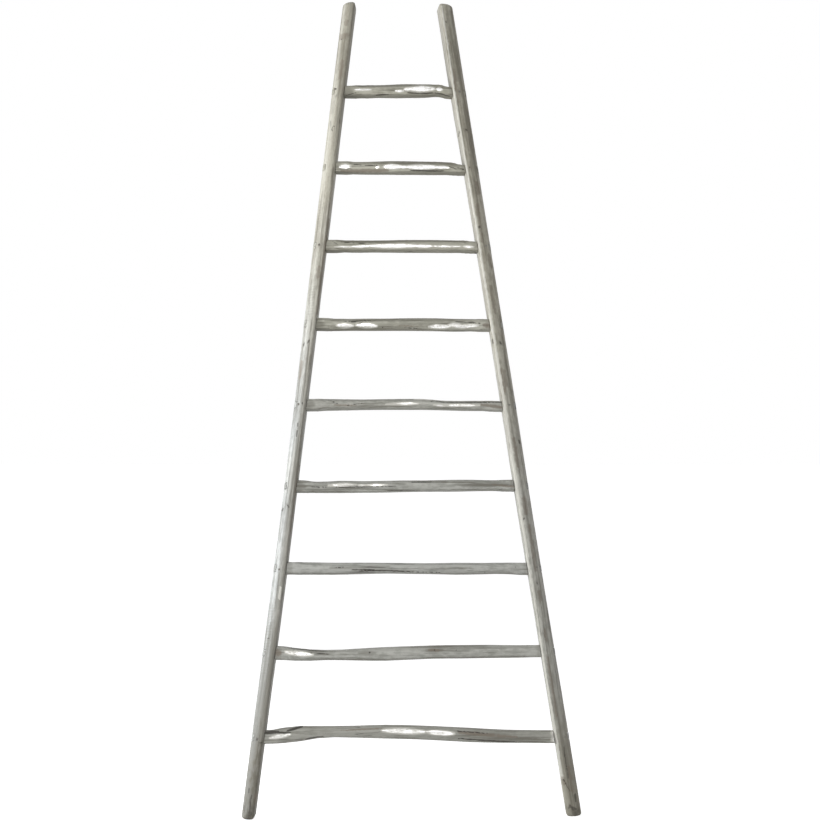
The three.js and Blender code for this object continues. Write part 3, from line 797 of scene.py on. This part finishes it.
# %% Rung marks
RUNG_MARKS = {
    9: {
        "rubbed": [
            (0.10, 0.36, 0.25, 0.36, 1.8), (0.46, 0.08, 0.54, 0.04, 2.2),
            (0.54, 0.25, 0.60, 0.3, 3.6), (0.58, 0.33, 0.81, 0.36, 6.4),
            (0.83, 0.3, 0.88, 0.33, 4.0),
        ],
        # Dark lines along the hewn edges and under the glints: painted shade.
        "dirt": [
            (0.02, -0.5, 0.13, -0.02, 1.0), (0.29, -0.55, 0.40, -0.42, 1.8),
            (0.57, -0.22, 0.68, -0.34, 1.5), (0.68, -0.34, 0.80, -0.3, 1.8),
            (0.80, -0.3, 0.95, -0.5, 1.4),
        ],
        "old": [(0.0, 0.0, 0.07, 0.0, 9.0)],
    },
    8: {
        "rubbed": [
            (0.04, 0.2, 0.12, 0.25, 4.6), (0.31, 0.15, 0.335, 0.2, 2.8),
            (0.37, 0.22, 0.50, 0.25, 5.0), (0.49, 0.17, 0.55, 0.17, 2.6),
            (0.54, 0.2, 0.77, 0.22, 5.4), (0.75, 0.2, 0.86, 0.2, 3.0),
        ],
        # Dark lines along the hewn edges: painted shade, with some dirt.
        "dirt": [
            (0.57, -0.33, 0.82, -0.38, 2.0), (0.86, 0.35, 0.92, 0.0, 1.0),
            (0.92, 0.35, 0.98, 0.1, 1.0), (0.12, 0.6, 0.36, 0.35, 0.8),
        ],
        "bare": [(0.05, -0.4, 0.40, -0.35, 5.0)],
    },
    7: {
        "rubbed": [
            (0.06, -0.05, 0.20, -0.02, 1.8), (0.17, 0.03, 0.29, 0.06, 3.0),
            (0.28, 0.1, 0.60, 0.12, 4.8), (0.58, 0.08, 0.69, 0.08, 3.2),
            (0.68, 0.08, 0.88, 0.08, 2.0), (0.89, 0.08, 0.96, 0.1, 2.6),
        ],
        # The last is a painted shadow under the rung's right end.
        "dirt": [
            (0.05, 0.8, 0.09, 0.1, 0.8), (0.10, 0.7, 0.3, 0.45, 0.7),
            (0.97, -0.9, 1.0, -0.95, 1.6),
        ],
    },
    6: {
        "rubbed": [
            (0.12, -0.1, 0.21, -0.15, 5.0), (0.23, -0.08, 0.345, -0.2, 5.2),
            (0.64, -0.3, 0.76, -0.2, 4.2), (0.75, 0.05, 0.82, 0.1, 4.2),
            (0.79, -0.25, 0.92, 0.0, 3.8),
        ],
        # The last is a painted shadow where the rung meets the right stile.
        "dirt": [
            (0.12, 0.55, 0.34, 0.7, 0.9), (0.20, 0.5, 0.26, 0.35, 1.0),
            (0.375, -0.35, 0.38, -0.5, 1.6), (0.50, -0.5, 0.6, -0.6, 0.8),
            (0.78, 0.6, 0.93, 0.35, 1.0), (1.0, -0.9, 1.0, 0.95, 3.0),
        ],
        "bare": [(0.47, -0.2, 0.58, -0.3, 1.6), (0.95, 0.1, 1.0, -0.1, 6.0)],
        "old": [(0.0, 0.0, 0.035, 0.0, 9.0)],
    },
    5: {
        "rubbed": [
            (0.54, 0.9, 0.63, 0.9, 0.9), (0.44, 0.08, 0.56, 0.15, 3.6),
            (0.65, -0.1, 0.70, -0.1, 2.2), (0.71, 0.1, 0.85, 0.1, 3.3),
        ],
        # Soft painted highlights.
        "pale": [
            (0.40, 0.05, 0.56, 0.15, 5.0), (0.64, 0.0, 0.87, 0.1, 4.4),
        ],
        # The last is a painted shadow where the rung meets the right stile.
        "dirt": [
            (0.11, 0.9, 0.16, 0.2, 0.8), (0.2, -0.1, 0.29, 0.35, 0.8),
            (0.62, 0.65, 0.99, 0.75, 1.2), (1.0, -0.9, 1.0, 0.95, 2.6),
        ],
        "bare": [(0.14, 0.0, 0.25, -0.1, 3.0), (0.88, 0.2, 1.0, -0.2, 5.0)],
        "old": [(0.0, 0.0, 0.035, 0.0, 9.0)],
    },
    4: {
        "rubbed": [
            (0.16, 0.3, 0.26, 0.36, 3.6), (0.28, 0.28, 0.31, 0.3, 2.0),
            (0.32, 0.3, 0.40, 0.33, 2.6),
        ],
        # Soft painted highlights.
        "pale": [(0.145, 0.28, 0.27, 0.38, 4.4), (0.28, 0.28, 0.41, 0.33, 3.6)],
        # The last is a painted shadow under the rung's right end.
        "dirt": [
            (0.0, 0.02, 0.15, 0.04, 0.9), (0.18, -0.03, 0.45, 0.0, 1.2),
            (0.40, -0.7, 0.56, -0.75, 0.7), (0.52, 0.7, 0.61, 0.72, 1.6),
            (0.865, 0.15, 0.868, 0.1, 1.4), (0.98, -1.0, 1.0, -1.0, 2.0),
        ],
        "bare": [(0.88, 0.2, 1.0, -0.2, 3.0)],
        "old": [(0.0, 0.0, 0.035, 0.0, 9.0)],
    },
    3: {
        "old": [(0.27, -0.25, 0.52, -0.5, 4.5), (0.18, 0.1, 0.42, 0.3, 4.0)],
        "dirt": [
            (0.27, -0.2, 0.36, -0.22, 1.1), (0.30, -0.45, 0.42, -0.4, 1.7),
            (0.40, -0.4, 0.52, -0.62, 1.5), (0.52, -0.62, 0.64, -0.65, 0.6),
            (0.2, 0.15, 0.235, 0.2, 1.3), (0.935, 0.25, 0.94, 0.2, 1.5),
            (0.81, -0.6, 0.812, -0.65, 1.4),
        ],
    },
    2: {
        "rubbed": [(0.04, 0.2, 0.14, 0.08, 5.2)],
        "dirt": [
            (0.06, 0.85, 0.19, 0.75, 1.2), (0.13, 0.4, 0.2, 0.15, 1.2),
            (0.35, 0.3, 0.352, 0.25, 2.6), (0.59, 0.3, 0.592, 0.28, 2.2),
            (0.67, 0.2, 0.672, 0.2, 1.6),
        ],
        "bare": [(0.0, 0.1, 0.02, 0.0, 9.0), (0.57, 0.35, 0.61, 0.2, 4.0)],
        "old": [
            (0.31, 0.3, 0.37, 0.2, 5.0), (0.56, 0.3, 0.62, 0.3, 5.0), (0.12, 0.5, 0.2, 0.2, 4.0),
        ],
    },
    1: {
        # Painted highlights. The last two paint the rung's right end near-white.
        "rubbed": [
            (0.02, -0.2, 0.09, 0.05, 3.6), (0.40, 0.15, 0.545, 0.1, 5.8),
            (0.55, 0.12, 0.645, 0.05, 4.6), (0.984, 0.55, 1.03, 0.55, 11),
            (0.984, -0.45, 1.03, -0.45, 11),
        ],
        "old": [
            (0.11, 0.25, 0.28, 0.3, 2.0), (0.28, 0.3, 0.40, 0.55, 2.4), (0.40, 0.6, 0.65, 0.5, 2.4),
            (0.65, 0.45, 0.86, 0.2, 2.2), (0.66, -0.2, 0.84, -0.5, 4.5),
        ],
        "bare": [(0.26, 0.2, 0.40, 0.45, 2.0), (0.66, 0.25, 0.86, -0.1, 4.0)],
        "dirt": [
            (0.0, 0.6, 0.05, 0.5, 4.2), (0.04, 0.45, 0.09, 0.2, 2.4),
            (0.08, 0.5, 0.13, 0.85, 2.8), (0.65, 0.42, 0.76, 0.3, 0.9),
            (0.66, -0.55, 0.86, -0.85, 1.5), (0.14, -0.75, 0.2, -0.7, 1.4),
        ],
    },
}
print("marks:", {number: sum(map(len, kinds.values())) for number, kinds in RUNG_MARKS.items()})

# %% [markdown]
# ## What differs from rung to rung
#
# The top rungs carry the most painted highlights, the low ones have gone blue-grey, and the tops
# and undersides are darkened as painted shade. Each of these is an amount from 0 to 1 for every
# rung, so the change along the ladder can be read in one row.

# %% Amounts for each rung
# How much painted shade darkens the top of each rung and its underside, and how much darker each
# rung is all over.
SHADE_AND_DARKENING = {
    9: (0.75, 0.8, 0), 8: (0.6, 0.8, 0), 7: (0.9, 0.85, 0.2), 6: (0.5, 0.7, 0), 5: (0.3, 0.4, 0),
    4: (0.15, 0.4, 0), 3: (0.1, 0.6, 0.05), 2: (0.3, 0.45, 0), 1: (0.6, 0.6, 0.38),
}
# How far each rung's painted highlights, laid as rubbed strokes, go towards bright metal.
SHINE = {9: 1, 8: 0.95, 7: 0.72, 6: 0.64, 5: 0.5, 4: 0.48, 3: 0, 2: 0.68, 1: 0.6}
# How far each rung's paint has cooled from yellow-grey to blue-grey.
COOL = {9: 0, 8: 0, 7: 0, 6: 0.15, 5: 0.5, 4: 0.6, 3: 0.7, 2: 0.6, 1: 0.5}
print("brightest rung", max(SHINE, key=SHINE.get), "and coolest", max(COOL, key=COOL.get))

# %% Places and tones on a rung
HALF_HEIGHT = 16.5  # millimetres, which is what a level of 1 stands for
TENON, END_BLOCK = 32, 18  # millimetres of each end in the stile, and then left square
IN_STILE = -TENON / 4  # a point this far past the shoulder is in the stile or behind it
STEPS = 40  # parts of a rung's length, each with its own top and underside


def rung_places(mesh, ends):
    """Each point's share from shoulder to shoulder, and its height as the eye sees it."""
    points = read(mesh, "co")
    share = (points[:, 0] * 1000 - ends[0]) / (ends[1] - ends[0])
    sight = points.mean(axis=0) - EYE
    height = (points[:, 2] * sight[1] - points[:, 1] * sight[2]) / math.hypot(*sight[1:])
    edges = np.linspace(0, 1, STEPS + 1)
    step = np.clip(np.searchsorted(edges, share) - 1, 0, STEPS - 1)
    top = np.array([height[step == s].max() for s in range(STEPS)])
    under = np.array([height[step == s].min() for s in range(STEPS)])
    middle = (edges[1:] + edges[:-1]) / 2
    high, low = np.interp(share, middle, top), np.interp(share, middle, under)
    return share, (2 * height - high - low) / (high - low)


def rung_marks(number, length, share, level, facing):
    """The marks as amounts on each point. Each painted highlight has a pale rim of painted glow."""
    u, v = share * length, level * HALF_HEIGHT
    kinds = {"pale", "old", "rubbed", *RUNG_MARKS[number]}
    tones = {tone: np.zeros(len(share)) for tone in sorted(kinds)}
    for tone, marks in RUNG_MARKS[number].items():
        taper = 0.75 if tone == "rubbed" else 0.4
        for t0, h0, t1, h1, width in marks:
            line = (t0 * length, h0 * HALF_HEIGHT, t1 * length, h1 * HALF_HEIGHT)
            add(tones, tone, stroke(u, v, (*line, width), taper) * facing)
            if tone == "rubbed":
                glint_glow = stroke(u, v, (*line, 1.45 * width + 0.8), 0.5) * facing
                add(tones, "pale", 0.85 * glint_glow)
    tones["rubbed"] = np.minimum(tones["rubbed"], SHINE[number])
    return tones


def shade_and_darkening(number, upright, inwards):
    """Painted shade on the top and on the underside, and darker paint all over and on the square
    end blocks.
    """
    on_top, beneath, all_over = SHADE_AND_DARKENING[number]
    shade_and_darker = rise(upright, 0.3, 0.7) * on_top + rise(-upright, 0.4, 0.8) * beneath
    block = rise(inwards, END_BLOCK + 1.5, END_BLOCK - 1.5) * 0.35
    return np.maximum(shade_and_darker, np.maximum(block, all_over))


print("a rung's tenon and end block:", TENON, "and", END_BLOCK, "mm")

# %% Make the rungs
def make_rung(number):
    """number is 1 for the lowest rung. It also moves the noise, so that no two are alike."""
    node = "rung_%d" % number
    wood = fine_copy(node, Vector((1, 0, 0)), CELL)
    rung = as_piece(wood, "hewn_" + node, node)
    mesh = rung.data
    places = in_ladder(read(mesh, "co")) * 1000
    ends = (places[:, 0].min() + TENON, places[:, 0].max() - TENON)
    length = ends[1] - ends[0]
    share, level = rung_places(mesh, ends)
    inwards = np.minimum(share, 1 - share) * length
    # Hewing marks in millimetres, which start a little way from the shoulders.
    hewing = 0.25 * (1 + wander(places[:, [2, 1, 0]], 0.09, 0.012, 7.0 * number))
    carve(mesh, rise(inwards, 0, 12) * hewing / 1000)
    normals = read(mesh, "normal")
    tones = rung_marks(number, length, share, level, normals[:, 1] < 0.25)
    shade_and_darker = shade_and_darkening(number, normals[:, 2], inwards)
    # The tenons' ends show at the stiles' outer sides, so they are toned like the stiles and
    # darkened as painted shade, since at the left they face the window lamp more squarely than the
    # stile round them.
    in_stile = inwards < IN_STILE
    tones["old"] = np.where(in_stile, 0.3, np.maximum(tones["old"] * 0.7, shade_and_darker))
    tones["pale"] = np.where(in_stile, 0, tones["pale"])
    tones["cool"] = np.where(in_stile, rise(number, 8, 5), COOL[number])
    lay(mesh, "grain", places[:, [1, 2, 0]] / 1000 + 2.0 * number)
    for tone, amount in tones.items():
        lay(mesh, tone, amount)
    mesh.materials.append(rung_paint)
    print(rung.name, len(mesh.polygons), "triangles")


for number in range(1, 10):
    make_rung(number)

# %% [markdown]
# ## The nails
#
# A nail from the front pins the tenons of every other rung. Only its small round head shows.
# Its solid is right as it stands, so it only needs a finish: dark iron, rusty in patches,
# with some silver paint left on it.

# %% Nails
IRON, RUST, OLD_PAINT = (0.17, 0.175, 0.18, 1), (0.17, 0.13, 0.10, 1), (0.36, 0.35, 0.31, 1)


def nail_finish(name, paint_left):
    """Iron, rust and paint in patches. paint_left is how much paint still covers the head."""
    material, rust = new_finish(name)
    place = rust.node("TexCoord", output=3)
    spots = rust.node("TexNoise", {}, {"Vector": place, "Scale": 900.0, "Detail": 3.0})
    rusty = rust.mask(spots, 0.35, 0.6)
    metal = rust.mix(rusty, IRON, RUST)
    painted = rust.mask(spots + paint_left, 0.62, 0.7)
    bump = rust.node("Bump", {}, {"Height": spots, "Strength": 0.5, "Distance": 0.0004})
    surface = {
        "Base Color": rust.mix(painted, metal, OLD_PAINT),
        "Metallic": 0.5 - rusty * 0.35,
        "Roughness": 0.45 + spots * 0.4,
        "Normal": bump,
    }
    rust.node("OutputMaterial", {}, {"Surface": rust.node("BsdfPrincipled", {}, surface)})
    return material


nails = [name for name in nodes if name.startswith("nail")]
finishes = {
    "left": nail_finish("nail_worn", paint_left=0.1),
    "right": nail_finish("nail_painted", paint_left=0.2),
}
for name in nails:
    side = "left" if "left" in name else "right"
    nodes[name].data.materials.clear()
    nodes[name].data.materials.append(finishes[side])
print(len(nails), "nails")

# %% [markdown]
# ## Size
#
# Wear only took wood away, so the dressed ladder must still fit its solids' box.
